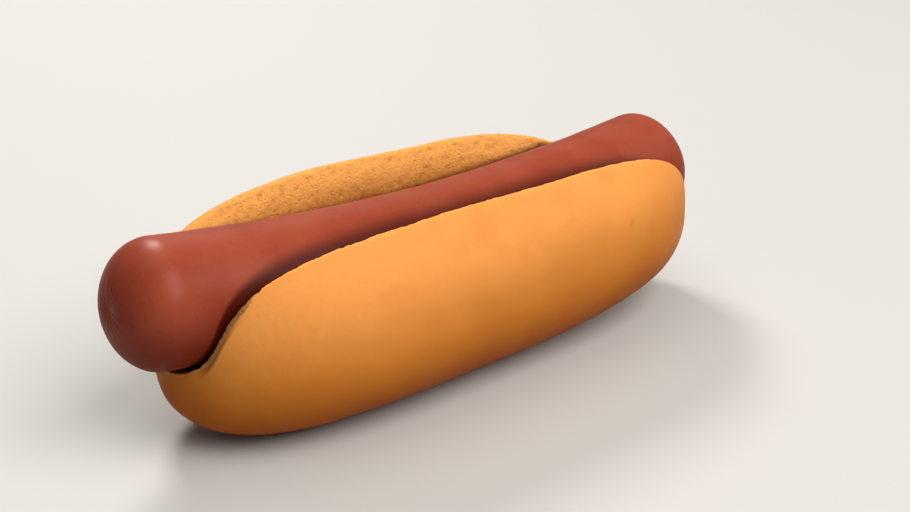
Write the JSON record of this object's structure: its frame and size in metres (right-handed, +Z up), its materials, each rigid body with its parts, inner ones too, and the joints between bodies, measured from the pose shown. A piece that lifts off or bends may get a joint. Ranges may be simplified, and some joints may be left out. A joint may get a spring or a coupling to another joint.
{
  "type": "hot dog",
  "caption": "Hot dog: a soft bun slit along its top, with a glossy bent frankfurter lying in the slit and standing out past both ends.",
  "frame": {"origin": "centre of the bounding box at its lowest level, on the surface that the bun stands on", "axes": "+X along the bun, away from the frankfurter's end that stands out further, +Y across the bun towards its lower lip, +Z up, the way the slit opens"},
  "size_m": [0.1649, 0.0609, 0.0503],
  "materials": {
    "bun_crust": "soft satin baked crust, golden orange-tan and browner towards the base, with a toasted porous cut face",
    "sausage_skin": "semi-gloss moist skin, brick red-brown"
  },
  "bodies": {
    "root": {"bun": "bun_crust", "frankfurter": "sausage_skin"}
  },
  "joints": []
}
